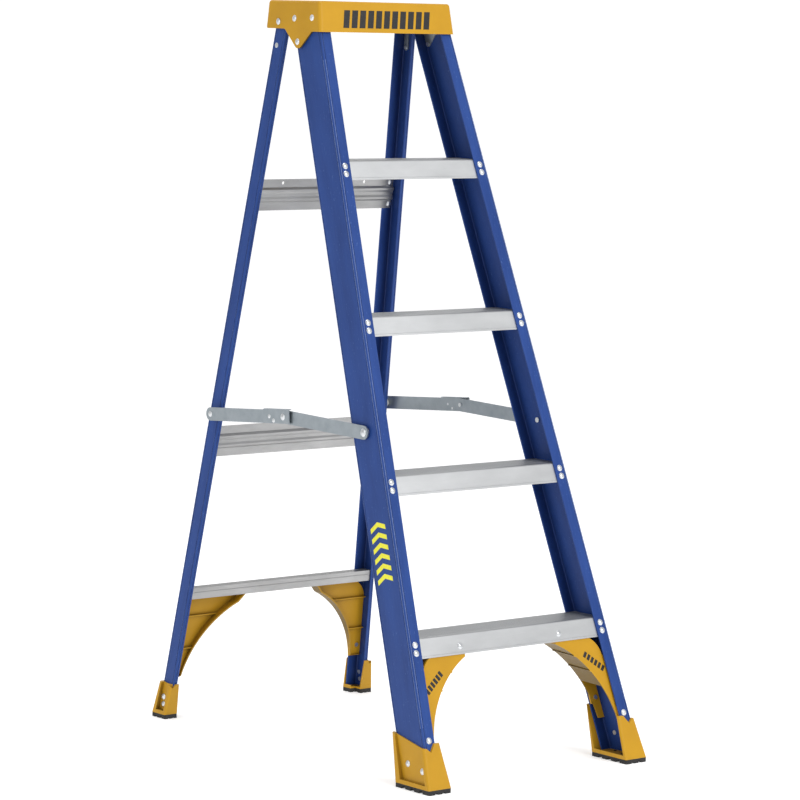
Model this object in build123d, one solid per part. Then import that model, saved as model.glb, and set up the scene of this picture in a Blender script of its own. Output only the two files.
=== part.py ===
from build123d import *
import os
from math import cos, radians, sqrt, tan

# Five-foot fibreglass stepladder, standing open.
# Frame: +Z up, X across the steps, the climbing side faces -Y, and the origin is
# on the floor at the middle of the footprint.  Left parts are at -X; the right
# ones are their mirror images.

# ---- Driving dimensions (mm) ----
HEIGHT = 1425.0                     # floor to the top of the cap
HALF_SPREAD = 435.0                 # middle to the outer edge of the front or rear feet

FRONT_RAKE = tan(radians(20.0))     # rearward lean of the front rails per mm of height
FRONT_SPLAY = 0.0728                # how much each front rail closes in per mm of height
FRONT_FOOT_X = 262.0                # outer corner of a front rail, carried down to the floor
FRONT_FOOT_Y = -431.4
FRONT_WEB = 76.2
FRONT_FLANGE = 26.0
FRONT_RAIL_TOP = 1408.0

REAR_RAKE = tan(radians(9.3))
REAR_SPLAY = 0.0666
REAR_FOOT_X = 253.3
REAR_FOOT_Y = 429.9
REAR_WEB = 33.5
REAR_FLANGE = 28.0                  # the flange on the back of a rear rail
REAR_LIP = 9.5                      # the short flange on its front
REAR_RAIL_TOP = 1401.0

RAIL_WALL = 3.2
RAIL_CORNER = 2.0                   # inside radius between web and flange
RAIL_BOTTOM = 12.3                  # cut end of every rail, inside its boot
BEAD_GROOVE = 1.0                   # radius of the grooves that outline each corner bead
BEAD_INSET = 4.4                    # from a rail's corner to the grooves

STEP_COUNT = 4
FIRST_STEP_TOP = 267.8
STEP_SPACING = 304.8                # along the rail
STEP_HEIGHT = 36.0
STEP_WALL = 2.2
TREAD_THICKNESS = 3.2
GRIP_PITCH = 3.6                    # between the grip grooves of a tread

HORIZONTAL_MIDDLES = {"top": 1047.5, "middle": 558.5}
HORIZONTAL_HEIGHT = 62.0
HORIZONTAL_WALL = 1.6
HORIZONTAL_MARGIN = 16.0            # flat margin above and below the raised middle
HORIZONTAL_RIVET_RISE = 21.8        # above and below the middle
HANGING_HOLES_X = 101.8             # two holes in the top horizontal
BAR_TOP = 264.0                     # the bottom horizontal lies flat
BAR_HEIGHT = 22.0
BAR_WALL = 1.8
BAR_GAP = 0.3                       # between the bar and the rear flanges

BRACE_SKIN = 3.0                    # front knee braces
BRACE_RIB_HEIGHTS = (172.0, 202.0)
BRACE_SWEEP = 0.1                   # outward drift of a front brace per mm rearward
REAR_BRACE_SKIN = 2.6
REAR_RIB_HEIGHTS = (138.0, 204.0)
FRONT_WINDOW = ((-221.0, 198.0), (-213.6, 217.3), (-198.0, 231.0))      # arc, as (x, z)
REAR_WINDOW = ((-237.0, 200.0), (-226.5, 227.0), (-205.0, 241.0))

SOLE = 8.5                          # rubber pad under a boot
GROOVE_SHARE = 0.22                 # radius of a pad's grooves over their pitch
STUD = 3.0                          # radius of the studs that hold a pad
BOOT_WALL = 3.0
BOOT_LIP = 15.5
FRONT_WELL = 42.0                   # inward reach of a front boot's open floor
FRONT_LOW = (-270.5, -216.5, -434.4, -337.5)    # boots at the sole, as (x0, x1, y0, y1)
REAR_LOW = (-265.0, -222.0, 390.5, 434.4)
FRONT_CREST = (97.0, 80.0, 87.0)    # a boot's upper edge: rear, outer front, inner front
REAR_CREST = (72.0, 66.0, 69.5)
FRONT_VEE = (-246.0, 72.5)          # bottom of the V in the front wall, as (x, z)
FRONT_BACK_VEE = (-241.0, 87.0)     # and in its rear wall, under the brace's rivet
REAR_VEE = (-251.5, 61.5)
REAR_TOE = ((-234.4, 0.0), (-238.8, 90.0), 408.0)   # inner edge of its front wall, and reach
FRONT_STUDS = ((-246, -372), (-238, -400))
REAR_STUDS = ((-240, 412),)

CAP_WALL = 3.6
CAP_GAP = 0.6                       # between the cap's side walls and the front webs
CAP_BOTTOM = 1325.0                 # before the lower edge is trimmed to its outline
CAP_TOP_WALL = 4.5
CAP_RADIUS = 7.0
CAP_INNER_RADIUS = 3.4
CAP_RIM = 6.0
TRAY = (276.0, 118.0, 1.4)          # shallow recess in the top: width, depth, drop
CAP_RIB_X = (-104.0, -40.0, 40.0, 104.0)

FOLD = (192.0, 1384.0)              # pivot of the rear section, as (y, z)
SPREADER_FRONT = (-162.7, 630.0)    # pivots of a spreader
SPREADER_HINGE = (76.0, 635.0)
SPREADER_REAR = (310.3, 617.0)
ARM_HEIGHT = 26.0
ARM_WALL = 2.8
FRONT_ARM_X = -218.6                # inner face of the left front arm
CLIP_WALL = 1.8
CLIP_AHEAD = 20.0                   # reach of the stop clip about the hinge
CLIP_BEHIND = 61.0
CLIP_RIVET_STEPS = ((42.0, 0.5), (29.0, -7.5))  # from the hinge, along and across the arm

FIT = 0.08                          # radial clearance of a pin that turns in its hole
CLEAR = 0.4                         # between faces that slide past each other
TOUCH = 0.05                        # between faces that are riveted together
PIVOT = 4.0                         # radius of the pivot pins
SHANK = 3.2
HEAD = 6.2
DOME = 2.6
TAIL = 0.8                          # how far a rivet's formed tail stands off

# Rivet places on the left side
FLANGE_MIDDLE = 13.5                # from the web's outer face, along a flange
STEP_RIVET_DROPS = (9.8, 24.3)      # below the tread
REAR_RIVET_DROP = 3.0               # how much lower they sit at the rear flange
FLANGE_RIVET_HEIGHTS = (92.0, 106.0)    # just above a front boot, front and rear flange
BRACE_SKIRT_RIVET = (-122.3, 246.4) # through the bottom step's front skirt, as (x, z)
CAP_RIVET_SPOTS = ((89.3, 1392.8), (143.4, 1391.0), (128.7, 1346.7))    # as (y, z)
FRONT_BOOT_SPOTS = ((-361.2, 45.8), (-404.5, 38.6))
REAR_BOOT_SPOTS = ((411.0, 41.7), (410.0, 26.9))
PLATE_RIVET_SPOT = (198.5, 1338.6)
BAR_RIVET_XS = (-108.0, -188.0)
BAR_RIVET_HEIGHT = 250.0
REAR_FLANGE_RIVET = (14.0, 102.0)   # in from the web, and height

os.makedirs("parts", exist_ok=True)


# ---- Helpers ----
def leg_frame(foot_x, foot_y, splay, rake):
    """A left rail: x inward, y rearward, z up the rail, from its outer corner."""
    along = Vector(splay, rake, 1).normalized()
    rearward = Vector(0, 1, -rake).normalized()
    return Plane(origin=(-foot_x, foot_y, 0), x_dir=rearward.cross(along), z_dir=along)


FRONT = leg_frame(FRONT_FOOT_X, FRONT_FOOT_Y, FRONT_SPLAY, FRONT_RAKE)
REAR = leg_frame(REAR_FOOT_X, REAR_FOOT_Y, REAR_SPLAY, -REAR_RAKE)
FRONT_COS = 1 / sqrt(1 + FRONT_RAKE**2)
REAR_COS = 1 / sqrt(1 + REAR_RAKE**2)
OUT = Vector(-1, 0, 0)


def front_x(height):
    """Distance of a front rail's outer corner from the middle."""
    return FRONT_FOOT_X - FRONT_SPLAY * height


def front_y(height):
    """Y of the front rails' front plane."""
    return FRONT_FOOT_Y + FRONT_RAKE * height


def rear_y(height):
    """Y of the rear rails' back plane."""
    return REAR_FOOT_Y - REAR_RAKE * height


def leg_point(frame, x, y, height):
    """The point at (x, y) in a rail's section that is this high above the floor."""
    base = frame.origin + frame.x_dir * x + frame.y_dir * y
    return base + frame.z_dir * ((height - base.Z) / frame.z_dir.Z)


def web_x(frame, y, z, inward=0.0):
    """X at (y, z) on the plane this far inside a left rail's outer face."""
    normal = frame.x_dir
    across = (y - frame.origin.Y) * normal.Y + z * normal.Z
    return frame.origin.X + (inward - across) / normal.X


def slab(bottom, top):
    """Everything between two heights."""
    return Pos(0, 0, (bottom + top) / 2) * Box(1000, 1400, top - bottom)


def block(x0, x1, y0, y1, z0, z1):
    middle = Pos((x0 + x1) / 2, (y0 + y1) / 2, (z0 + z1) / 2)
    return middle * Box(abs(x1 - x0), abs(y1 - y0), abs(z1 - z0))


def leg_block(frame, x0, x1, y0, y1, s0=-100.0, s1=500.0):
    """A block in a rail's own directions."""
    return frame * block(x0, x1, y0, y1, s0, s1)


def right_of(part):
    """The same part on the right side."""
    return mirror(part, about=Plane.YZ)


def both_sides(parts):
    return list(parts) + [right_of(part) for part in parts]


def save(name, shapes):
    """Write one node: one solid, or separate solids such as a set of rivets."""
    if isinstance(shapes, (list, tuple)):
        shapes = Compound(children=list(shapes))
    export_step(shapes, f"parts/{name}.step")


def save_pair(name, part):
    save(f"{name}_left", part)
    save(f"{name}_right", right_of(part))


# ---- Rivets and pins ----
def seat(point, outward):
    """Where a rivet's head sits: z points out of the surface."""
    return Plane(origin=point, z_dir=outward)


def mirrored_seat(place):
    """The same seat on the right side."""
    origin = Vector(-place.origin.X, place.origin.Y, place.origin.Z)
    outward = Vector(-place.z_dir.X, place.z_dir.Y, place.z_dir.Z)
    return seat(origin, outward)


def mirrored_seats(places):
    return list(places) + [mirrored_seat(place) for place in places]


def web_seat(frame, y, z, out=0.0):
    """A seat over a left web at (y, z), out mm clear of its face."""
    return seat(Vector(web_x(frame, y, z, -out), y, z), -frame.x_dir)


def grip_to(place, frame, inward):
    """Length of a rivet from its seat to the plane this far inside a rail's face."""
    depth = (place.origin - frame.origin).dot(frame.x_dir)
    return (inward - depth) / -place.z_dir.dot(frame.x_dir)


def rivet(place, grip, shank=SHANK, head=HEAD, dome=DOME, tail=TAIL, foot=0.7):
    """A domed rivet; past the grip its formed tail is foot times as wide as the head."""
    sphere = (head**2 + dome**2) / (2 * dome)
    cap = Pos(0, 0, dome - sphere) * Sphere(sphere)
    cap &= Pos(0, 0, dome / 2) * Box(3 * head, 3 * head, dome)
    body = Pos(0, 0, -(grip + tail) / 2) * Cylinder(shank, grip + tail)
    if tail:
        body += Pos(0, 0, -grip - tail) * Cylinder(foot * head, 2 * tail)
    return place * (cap + body)


def drill(part, places, radius=SHANK, depth=30.0):
    """Cut the rivets' holes."""
    for place in places:
        part -= place * Cylinder(radius, 2 * depth)
    return part


def bore(part, spot, radius):
    """A hole along X."""
    y, z = spot
    return part - Pos(0, y, z) * Rot(0, 90, 0) * Cylinder(radius, 700)


def cross_pin(spot, x_out, x_in, head=8.0, dome=3.0, tail=TAIL, foot=0.62):
    """A pivot rivet along X on the left side, its head at x_out."""
    place = seat(Vector(x_out, *spot), OUT)
    return rivet(place, abs(x_out - x_in), PIVOT, head, dome, tail, foot)


def ring(spot, x_out, x_in, radius, hole=PIVOT):
    """A washer or bush along X between two planes."""
    y, z = spot
    body = Cylinder(radius, abs(x_out - x_in)) - Cylinder(hole, 100)
    return Pos((x_out + x_in) / 2, y, z) * Rot(0, 90, 0) * body


# ---- Rails ----
def channel(web, front_flange, rear_flange, front):
    """C-section open toward +x, with a bead between two grooves at each outer corner."""
    low = (Align.MIN, Align.MIN)
    back = front + web
    section = Pos(0, front) * Rectangle(RAIL_WALL, web, align=low)
    section += Pos(0, front) * Rectangle(front_flange, RAIL_WALL, align=low)
    section += Pos(0, back - RAIL_WALL) * Rectangle(rear_flange, RAIL_WALL, align=low)
    outer = section.vertices().filter_by(lambda v: v.X < 0.01)
    section = fillet(outer, 2.2)
    inner = section.vertices().filter_by(
        lambda v: abs(v.X - RAIL_WALL) < 0.01 and front + 0.01 < v.Y < back - 0.01
    )
    section = fillet(inner, RAIL_CORNER)
    tips = section.vertices().filter_by(lambda v: v.X > RAIL_WALL + 3)
    section = fillet(tips, 1.2)
    for y in (front + BEAD_INSET, back - BEAD_INSET):
        section -= Pos(-0.15, y) * Circle(BEAD_GROOVE)
    section -= Pos(BEAD_INSET, front - 0.15) * Circle(BEAD_GROOVE)
    section -= Pos(BEAD_INSET, back + 0.15) * Circle(BEAD_GROOVE)
    return section


def rail(frame, section, top):
    bar = extrude(frame.offset(-80) * section, amount=1700)
    return bar & slab(RAIL_BOTTOM, top)


# ---- Steps ----
STEP_TOPS = [FIRST_STEP_TOP + i * STEP_SPACING * FRONT_COS for i in range(STEP_COUNT)]
STEP_RIVETS_FRONT = [
    seat(leg_point(FRONT, FLANGE_MIDDLE, 0, top - drop), -FRONT.y_dir)
    for top in STEP_TOPS
    for drop in STEP_RIVET_DROPS
]
STEP_RIVETS_REAR = [
    seat(leg_point(FRONT, FLANGE_MIDDLE, FRONT_WEB, top - drop - REAR_RIVET_DROP), FRONT.y_dir)
    for top in STEP_TOPS
    for drop in STEP_RIVET_DROPS
]
SKIRT_DEPTH = RAIL_WALL + TOUCH     # face of a step's skirt behind the flange
BRACE_SKIRT_SEAT = seat(
    Vector(
        BRACE_SKIRT_RIVET[0],
        front_y(BRACE_SKIRT_RIVET[1]) + SKIRT_DEPTH / FRONT_COS,
        BRACE_SKIRT_RIVET[1],
    ),
    -FRONT.y_dir,
)


def sloped_box(y0, y1, top, bottom, slope):
    """Outline in the YZ plane whose sides lean by slope per mm going down."""
    run = slope * (top - bottom)
    return Polygon((y0, top), (y1, top), (y1 + run, bottom), (y0 + run, bottom), align=None)


def step_section(top):
    """Tread and two skirts, with grip ribs along the tread."""
    wall_y = STEP_WALL / FRONT_COS
    y0 = front_y(top) + SKIRT_DEPTH / FRONT_COS
    y1 = y0 + (FRONT_WEB - 2 * SKIRT_DEPTH) / FRONT_COS
    bottom = top - STEP_HEIGHT
    outline = sloped_box(y0, y1, top, bottom, -FRONT_RAKE)
    noses = outline.vertices().sort_by(Axis.Y)[-2:].sort_by(Axis.X)
    outline = fillet(noses[0], 5.0)
    rear_nose = outline.vertices().filter_by(lambda v: v.Y > top - 0.01).sort_by(Axis.X)[-1]
    outline = fillet(rear_nose, 3.0)
    drop = FRONT_RAKE * TREAD_THICKNESS
    hollow = sloped_box(
        y0 + wall_y - drop, y1 - wall_y - drop, top - TREAD_THICKNESS, bottom - 5, -FRONT_RAKE
    )
    section = outline - fillet(hollow.vertices().sort_by(Axis.Y)[-2:], 2.0)
    for i in range(int((y1 - y0 - 16) / GRIP_PITCH)):
        section -= Pos(y0 + 9 + i * GRIP_PITCH, top) * Rectangle(1.5, 1.4)
    drip = y0 - FRONT_RAKE * (STEP_HEIGHT - 4.0)
    section -= Pos(drip, bottom + 4.0) * Circle(0.5)
    return section


def step(number):
    """One step, cut to fit between the webs, with its rivet holes."""
    top = STEP_TOPS[number]
    rear_edge = front_y(top) + FRONT_WEB / FRONT_COS
    half = -web_x(FRONT, rear_edge, top, RAIL_WALL + RAIL_CORNER + 0.2)
    tread = extrude(Plane.YZ * step_section(top), amount=half, both=True)
    first = number * len(STEP_RIVET_DROPS)
    last = first + len(STEP_RIVET_DROPS)
    places = STEP_RIVETS_FRONT[first:last] + STEP_RIVETS_REAR[first:last]
    if number == 0:
        places = places + [BRACE_SKIRT_SEAT]
    return drill(tread, mirrored_seats(places), depth=14)


# ---- Knee braces ----
BRACE_DEPTH = SKIRT_DEPTH + STEP_WALL + 0.1     # behind flange and skirt
FAR_DEPTH = FRONT_WEB - BRACE_DEPTH
FLANGE_RIVETS = [
    seat(leg_point(FRONT, FLANGE_MIDDLE, 0, FLANGE_RIVET_HEIGHTS[0]), -FRONT.y_dir),
    seat(leg_point(FRONT, FLANGE_MIDDLE, FRONT_WEB, FLANGE_RIVET_HEIGHTS[1]), FRONT.y_dir),
]
REAR_BRACE_DEPTH = RAIL_WALL + BAR_GAP + BAR_WALL + 0.1
BAR_BOTTOM = BAR_TOP - BAR_HEIGHT - 0.3
REAR_BRACE_RIVET = seat(leg_point(REAR, REAR_FLANGE_RIVET[0], 0, REAR_FLANGE_RIVET[1]), REAR.y_dir)
BAR_RIVETS = [
    seat(
        Vector(x, rear_y(BAR_RIVET_HEIGHT) - (RAIL_WALL + BAR_GAP) / REAR_COS, BAR_RIVET_HEIGHT),
        REAR.y_dir,
    )
    for x in BAR_RIVET_XS
]


def sheet_plane(y, cosine, slope):
    """Drawing plane of a leg pair's outer side: x across, y up the slope."""
    return Plane(origin=(0, y, 0), x_dir=(1, 0, 0), z_dir=(0, -cosine, slope * cosine))


FRONT_SHEET = sheet_plane(FRONT_FOOT_Y, FRONT_COS, FRONT_RAKE)
REAR_SHEET = sheet_plane(REAR_FOOT_Y, REAR_COS, -REAR_RAKE)


def brace_outline(cosine, corners, tip, bend, toe):
    """Face of a left knee brace: round the corners, then down a hollow arc to the toe.

    Points are (x, height); the drawing plane slopes, so heights are stretched.
    """
    raised = [(x, z / cosine) for x, z in [*corners, tip, bend, toe]]
    *edge, tip, bend, toe = raised
    lines = Polyline(toe, *edge, tip)
    return make_face([*lines.edges(), *ThreePointArc(tip, bend, toe).edges()])


def corner_window(arc, cosine):
    """What is cut from a brace's upper outer corner, down to an arc."""
    low, bulge, high = [(x, z / cosine) for x, z in arc]
    lines = Polyline(high, (high[0], 320), (-275, 320), (-275, low[1]), low)
    return make_face([*lines.edges(), *ThreePointArc(low, bulge, high).edges()])


def front_brace():
    """Face plate, back plate, the arched skin that joins them, and ribs under the skin."""
    outline = brace_outline(
        FRONT_COS,
        [(-262, 71), (-262, 231), (-205, 231), (-205, 256), (-114, 256)],
        (-112, 227), (-189, 166), (-229, 71),
    )
    sweep = Vector(-BRACE_SWEEP, 1, 0).normalized()

    def swept(face):
        return extrude(FRONT_SHEET * face, amount=130, dir=sweep)

    inside = leg_block(FRONT, RAIL_WALL + 0.4, 400, BRACE_DEPTH, FAR_DEPTH)
    solid = swept(outline) & inside
    face = swept(outline - corner_window(FRONT_WINDOW, FRONT_COS)) & inside
    brace = face & leg_block(FRONT, 0, 400, BRACE_DEPTH, BRACE_DEPTH + BRACE_SKIN)
    brace += solid & leg_block(FRONT, 0, 400, FAR_DEPTH - BRACE_SKIN, FAR_DEPTH)
    arch = outline - Pos(-2.4, 2.4) * outline
    brace += swept(arch) & inside & slab(142, 230)
    under = Pos(1.1, -1.1) * outline - outline
    for height in BRACE_RIB_HEIGHTS:
        brace += swept(under) & inside & slab(height - 1, height + 1)
    brace += leg_block(FRONT, 6, FRONT_FLANGE - 1, SKIRT_DEPTH, BRACE_DEPTH + 1, 90, 112)
    brace += leg_block(
        FRONT, 6, FRONT_FLANGE - 1, FAR_DEPTH - 1, FRONT_WEB - SKIRT_DEPTH, 131, 153
    )
    return drill(brace, [*FLANGE_RIVETS, BRACE_SKIRT_SEAT], depth=14)


def rear_brace():
    """Dished brace of a rear leg: back plate, skin that deepens upward, cross ribs."""
    outline = brace_outline(
        REAR_COS,
        [(-260, 78), (-260, BAR_TOP - 6), (-92, BAR_TOP - 6), (-92, 241)],
        (-105, 226), (-179, 166), (-216, 78),
    )
    outline -= corner_window(REAR_WINDOW, REAR_COS)

    def swept(face):
        return extrude(REAR_SHEET * face, amount=60, dir=(0, -1, 0))

    reach = REAR_WEB - RAIL_WALL - 0.3
    back = -REAR_BRACE_DEPTH
    inside = leg_block(REAR, RAIL_WALL + 0.4, 400, -reach, back)
    brace = swept(outline) & inside & leg_block(REAR, 0, 400, back - REAR_BRACE_SKIN, back)
    shallow_y = rear_y(80) - 12
    deep_y = rear_y(BAR_BOTTOM) - reach
    wedge = Polygon(
        (shallow_y, 80), (deep_y, BAR_BOTTOM), (500, BAR_BOTTOM), (500, 80), align=None
    )
    arch = outline - Pos(-2.2, 2.2) * outline
    brace += swept(arch) & inside & extrude(Plane.YZ * wedge, amount=300, both=True)
    rib_zone = swept(outline) & inside & leg_block(REAR, 0, 400, back - 9, back)
    for height in REAR_RIB_HEIGHTS:
        brace += rib_zone & slab(height - 0.9, height + 0.9)
    brace += leg_block(
        REAR, 6, REAR_FLANGE - 2, back - 0.5, -RAIL_WALL - TOUCH, 92, 116
    )
    return drill(brace, [REAR_BRACE_RIVET, *BAR_RIVETS], depth=14)


# ---- Boots and pads ----
FRONT_BOOT_RIVETS = [web_seat(FRONT, y, z, BOOT_WALL + 0.3) for y, z in FRONT_BOOT_SPOTS]
REAR_BOOT_RIVETS = [web_seat(REAR, y, z, BOOT_WALL + 0.3) for y, z in REAR_BOOT_SPOTS]
SLEEVE_SLACK = 0.15                 # round a rail's end in its boot


def boot_block(low, high, top):
    """Tapered block between two rectangles (x0, x1, y0, y1), rounder toward its top."""
    faces = []
    for (x0, x1, y0, y1), z, radius in ((low, SOLE, 3.0), (high, top, 7.0)):
        outline = Rectangle(abs(x1 - x0), abs(y1 - y0))
        outline = fillet(outline.vertices(), radius)
        faces.append(Pos((x0 + x1) / 2, (y0 + y1) / 2, z) * outline)
    return loft(faces)


def boot_shell(frame, low, high, web, well, top):
    """Tapered block hollowed for the rail, open on the inner side above a low lip."""
    body = boot_block(low, high, top)
    slack = SLEEVE_SLACK
    front, back = web
    body -= leg_block(frame, -slack, well, front - slack, back + slack) & slab(RAIL_BOTTOM - 0.1, 400)
    body -= leg_block(frame, well - 1, 120, front - slack, back + slack) & slab(BOOT_LIP, 400)
    panel = leg_block(frame, -40, -BOOT_WALL, front + 3.5, back - 5)
    return body - (panel & slab(BOOT_LIP, 400))


def above_crest(y_front, y_rear, crest, split):
    """What a boot's sloping upper edge cuts away; the front wall is higher inward of split."""
    rear_top, front_top, inner_top = crest
    outline = Polygon(
        (y_front, front_top), (y_rear, rear_top), (y_rear + 60, rear_top), (y_rear + 60, 300),
        (y_front - 60, 300), (y_front - 60, front_top),
        align=None,
    )
    cut = extrude(Plane.YZ * outline, amount=400, both=True)
    return cut - block(split, 0, y_front - 60, (y_front + y_rear) / 2, 0, inner_top)


def along_y(outline, y0, y1):
    """Extrude an outline drawn as (x, z) from y0 to y1."""
    return extrude(Plane.XZ.offset(-y0) * outline, amount=y0 - y1)


def vee_cut(vee, y0, y1):
    """A lopsided V cut down to (x, z) through a wall that lies between y0 and y1."""
    x, z = vee
    rise = 40
    outline = Polygon((x - 1.2 * rise, z + rise), (x, z), (x + 0.8 * rise, z + rise), align=None)
    return along_y(outline, y0, y1)


def with_studs(body, studs):
    """Holes in the boot's floor that the pad's studs fill."""
    for x, y in studs:
        body -= Pos(x, y, 10) * Cylinder(STUD, 20)
    return body


def front_boot():
    top = FRONT_CREST[0] + 14
    y0 = front_y(top)
    high = (-258.6, -222.0, y0 - 4.2, y0 + FRONT_WEB / FRONT_COS + 3.6)
    body = boot_shell(FRONT, FRONT_LOW, high, (0, FRONT_WEB), FRONT_WELL, top)
    body -= above_crest(high[2], high[3], FRONT_CREST, FRONT_VEE[0])
    wall = front_y(FRONT_CREST[2]) + 1.0
    body -= vee_cut(FRONT_VEE, wall - 40, wall)
    back = front_y(88) + (FRONT_WEB - 3.0) / FRONT_COS
    body -= vee_cut(FRONT_BACK_VEE, back, back + 40)
    body = drill(body, FRONT_BOOT_RIVETS, depth=9)
    return with_studs(body, FRONT_STUDS)


def toe_cut(inset):
    """The front inner corner a rear boot lacks: its front wall only covers the rail's lip."""
    (x_low, z_low), (x_high, z_high), reach = REAR_TOE
    outline = Polygon(
        (x_low - inset, z_low - 10), (-150, z_low - 10), (-150, z_high), (x_high - inset, z_high),
        (x_low - inset, z_low),
        align=None,
    )
    return along_y(outline, reach + inset - 60, reach + inset)


def rear_boot():
    top = REAR_CREST[0] + 14
    y1 = rear_y(top)
    high = (-255.5, -217.5, y1 - REAR_WEB / REAR_COS - 3.8, y1 + 4.0)
    well = REAR_FLANGE + SLEEVE_SLACK
    body = boot_shell(REAR, REAR_LOW, high, (-REAR_WEB, 0), well, top)
    body -= above_crest(high[2], high[3], REAR_CREST, REAR_VEE[0])
    wall = rear_y(REAR_VEE[1]) - REAR_WEB / REAR_COS + 1.0
    body -= vee_cut(REAR_VEE, wall - 40, wall)
    body -= toe_cut(0.0)
    body = drill(body, REAR_BOOT_RIVETS, depth=9)
    return with_studs(body, REAR_STUDS)


def pad(area, columns, rows, studs):
    """Rubber tread pad: lobes between crossing grooves, and the studs that hold it."""
    x0, x1, y0, y1 = area
    outline = fillet(Rectangle(x1 - x0, y1 - y0).vertices(), 3.0)
    base = extrude(Pos((x0 + x1) / 2, (y0 + y1) / 2, 0) * outline, amount=SOLE)
    pitch = (y1 - y0) / rows
    for i in range(1, rows):
        groove = Cylinder(GROOVE_SHARE * pitch, 1200)
        base -= Pos(0, y0 + i * pitch, 0) * Rot(0, 90, 0) * groove
    pitch = (x1 - x0) / columns
    for i in range(1, columns):
        groove = Cylinder(GROOVE_SHARE * pitch, 1200)
        base -= Pos(x0 + i * pitch, 0, 0) * Rot(90, 0, 0) * groove
    for x, y in studs:
        base += Pos(x, y, SOLE + 2.5) * Cylinder(STUD, 5.0)
    return base


def front_pad():
    x0, x1, _, y1 = FRONT_LOW
    return pad((x0 + 0.8, x1 - 0.8, -HALF_SPREAD, y1 + 0.6), 3, 4, FRONT_STUDS)


def rear_pad():
    x0, x1, y0, _ = REAR_LOW
    base = pad((x0 + 0.8, x1 - 0.8, y0 - 0.6, HALF_SPREAD), 4, 3, REAR_STUDS)
    return base - toe_cut(0.8)


# ---- Rear horizontals ----
def horizontal_rivet(height, rise):
    """A rivet through a horizontal and the rear flange; its head faces the climber."""
    back = leg_point(REAR, FLANGE_MIDDLE, 0, height + rise * REAR_COS)
    front = back - REAR.y_dir * (RAIL_WALL + TOUCH + HORIZONTAL_WALL)
    return seat(front, -REAR.y_dir)


HORIZONTAL_RIVETS = {
    name: [horizontal_rivet(middle, rise) for rise in (-HORIZONTAL_RIVET_RISE, HORIZONTAL_RIVET_RISE)]
    for name, middle in HORIZONTAL_MIDDLES.items()
}


def bar_plane(height):
    """Section plane on the inside of the rear flanges: x rearward, y up the slope."""
    depth = (RAIL_WALL + TOUCH) / REAR_COS
    rearward = (0, REAR_COS, REAR_RAKE * REAR_COS)
    return Plane(origin=(0, rear_y(height) - depth, height), x_dir=rearward, z_dir=(1, 0, 0))


def hat_section():
    """Rolled hat: two flat margins and a raised, double-ridged middle."""
    half = HORIZONTAL_HEIGHT / 2
    margin = half - HORIZONTAL_MARGIN
    crest, dip = -5.0, -2.6
    face = [
        (0, half), (0, margin), (crest, margin - 4), (crest, 7), (dip, 3), (dip, -3),
        (crest, -7), (crest, 4 - margin), (0, -margin), (0, -half),
    ]
    back = [(x - HORIZONTAL_WALL, y) for x, y in reversed(face)]
    return Polygon(*face, *back, align=None)


def rear_horizontal(name):
    middle = HORIZONTAL_MIDDLES[name]
    top = middle + HORIZONTAL_HEIGHT / 2
    half_length = -web_x(REAR, rear_y(top) - 9, top, RAIL_WALL + RAIL_CORNER + 0.4)
    bar = extrude(bar_plane(middle) * hat_section(), amount=half_length, both=True)
    if name == "top":
        rise = HORIZONTAL_HEIGHT / 2 - 7.5
        for x in (-HANGING_HOLES_X, HANGING_HOLES_X):
            bar -= bar_plane(middle) * Location((0, rise, x), (0, 90, 0)) * Cylinder(3.2, 30)
    return drill(bar, mirrored_seats(HORIZONTAL_RIVETS[name]), depth=6)


def bottom_horizontal():
    """A shallow channel lying flat between the rear rails' flanges."""
    back = rear_y(BAR_TOP) - (RAIL_WALL + BAR_GAP) / REAR_COS
    front = back - (REAR_WEB - 2 * RAIL_WALL - 2 * BAR_GAP) / REAR_COS
    bottom = BAR_TOP - BAR_HEIGHT
    outline = sloped_box(front, back, BAR_TOP, bottom, REAR_RAKE)
    lean = REAR_RAKE * BAR_WALL
    hollow = sloped_box(
        front + BAR_WALL + lean, back - BAR_WALL + lean, BAR_TOP - BAR_WALL, bottom - 5, REAR_RAKE
    )
    section = outline - hollow
    for i in range(6):
        section -= Pos(front + 4 + GRIP_PITCH * i, BAR_TOP) * Rectangle(1.3, 1.2)
    lip_y = rear_y(BAR_TOP) - REAR_WEB / REAR_COS
    half_length = -web_x(REAR, lip_y, BAR_TOP, RAIL_WALL + RAIL_CORNER + 0.2)
    bar = extrude(Plane.YZ * section, amount=half_length, both=True)
    drop = 0.4 * BAR_HEIGHT
    bead = Pos(front + REAR_RAKE * drop - 0.1, BAR_TOP - drop) * Circle(0.9)
    bar += extrude(Plane.YZ * bead, amount=half_length - REAR_LIP, both=True)
    return drill(bar, mirrored_seats(BAR_RIVETS), depth=9)


# ---- Top cap ----
CAP_SIDE = Vector(-1, 0, FRONT_SPLAY).normalized()     # outward from the cap's left wall


def cap_half(height):
    """Half the cap's width at this height."""
    return front_x(height) + CAP_GAP + CAP_WALL


CAP_RIVETS = [seat(Vector(-cap_half(z), y, z), CAP_SIDE) for y, z in CAP_RIVET_SPOTS]


def cap_block(inset, z_low, z_high, radius):
    """The cap's tapered block, drawn in by inset on every side."""
    faces = []
    for z in (z_low, z_high):
        half = cap_half(z) - inset
        y0 = 60.0 + 0.172 * (z - 1367.0) + inset
        y1 = 232.0 - 0.046 * (z - 1371.0) - inset
        outline = fillet(Rectangle(2 * half, y1 - y0).vertices(), radius)
        faces.append(Pos(0, (y0 + y1) / 2, z) * outline)
    return loft(faces)


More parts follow.
